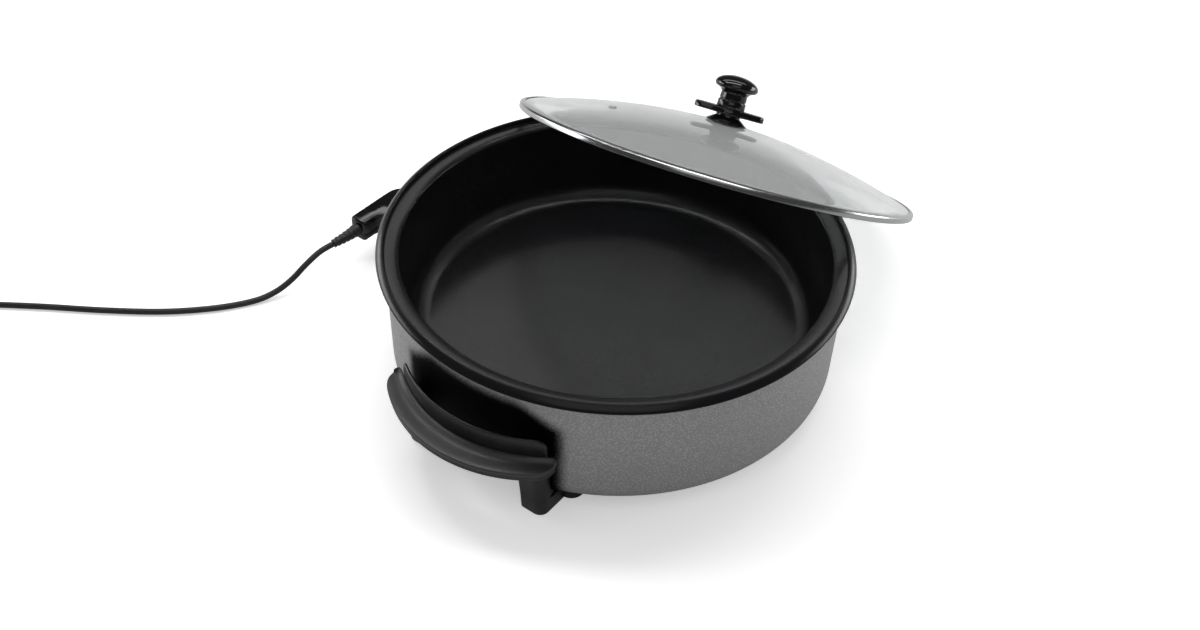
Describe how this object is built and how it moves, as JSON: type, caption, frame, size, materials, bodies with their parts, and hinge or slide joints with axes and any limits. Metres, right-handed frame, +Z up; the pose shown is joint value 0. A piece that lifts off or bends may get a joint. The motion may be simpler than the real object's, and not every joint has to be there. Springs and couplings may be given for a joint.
{
  "type": "electric skillet",
  "caption": "Round countertop electric skillet with side handles on legs, a domed glass lid leaning on the rim, and a plug-in heat control with its cord.",
  "frame": {"origin": "centre of the pan's flat cooking surface, on the pan's axis", "axes": "+Z up along the pan's axis; the handles lie along +X and -X and the heat control plugs in from +Y"},
  "size_m": [0.8892, 0.7744, 0.2088],
  "materials": {
    "coating": "dark non-stick coating",
    "shell_paint": "fine hammered grey paint",
    "grip": "satin dark grey",
    "dark": "satin black",
    "gloss": "polished black",
    "glass": "clear tempered",
    "steel": "bright rolled steel",
    "sheath": "dull sheath",
    "sleeve": "as cast",
    "cord": "satin",
    "lens": "clear amber"
  },
  "bodies": {
    "pan_unit": {"pan_body": "coating", "outer_shell": "shell_paint", "heating_element": "sheath", "terminal_a": "steel", "terminal_b": "steel", "probe_sleeve": "sleeve", "socket_block": "dark", "grip_right": "grip", "grip_skirt_right": "dark", "heat_guard_right": "dark", "leg_right_a": "dark", "leg_right_b": "dark", "grip_left": "grip", "grip_skirt_left": "dark", "heat_guard_left": "dark", "leg_left_a": "dark", "leg_left_b": "dark"},
    "lid": {"lid_glass": "glass", "lid_band": "steel", "vent_eyelet": "steel", "knob_skirt": "gloss", "knob_wings": "gloss", "knob_cap": "gloss", "knob_screw": "steel"},
    "heat_control": {"control_upper": "gloss", "control_lower": "gloss", "control_nose": "dark", "probe_rod": "steel", "indicator_lens": "lens", "strain_relief": "dark", "cord": "cord", "cord_coil": "cord", "cord_tail": "cord", "mains_plug": "dark", "mains_pin_a": "steel", "mains_pin_b": "steel"},
    "dial": {"control_dial": "gloss"}
  },
  "joints": [
    {"name": "lid_lift", "type": "slide", "parent": "pan_unit", "child": "lid", "axis": [0, 0, 1], "range_m": [0, 0.2]},
    {"name": "control_pull", "type": "slide", "parent": "pan_unit", "child": "heat_control", "axis": [0, 1, 0], "range_m": [0, 0.075]},
    {"name": "dial_turn", "type": "hinge", "parent": "heat_control", "child": "dial", "pos_m": [0, 0.244, 0.0035], "axis": [0, 0, -1], "range_deg": [0, 270]}
  ]
}
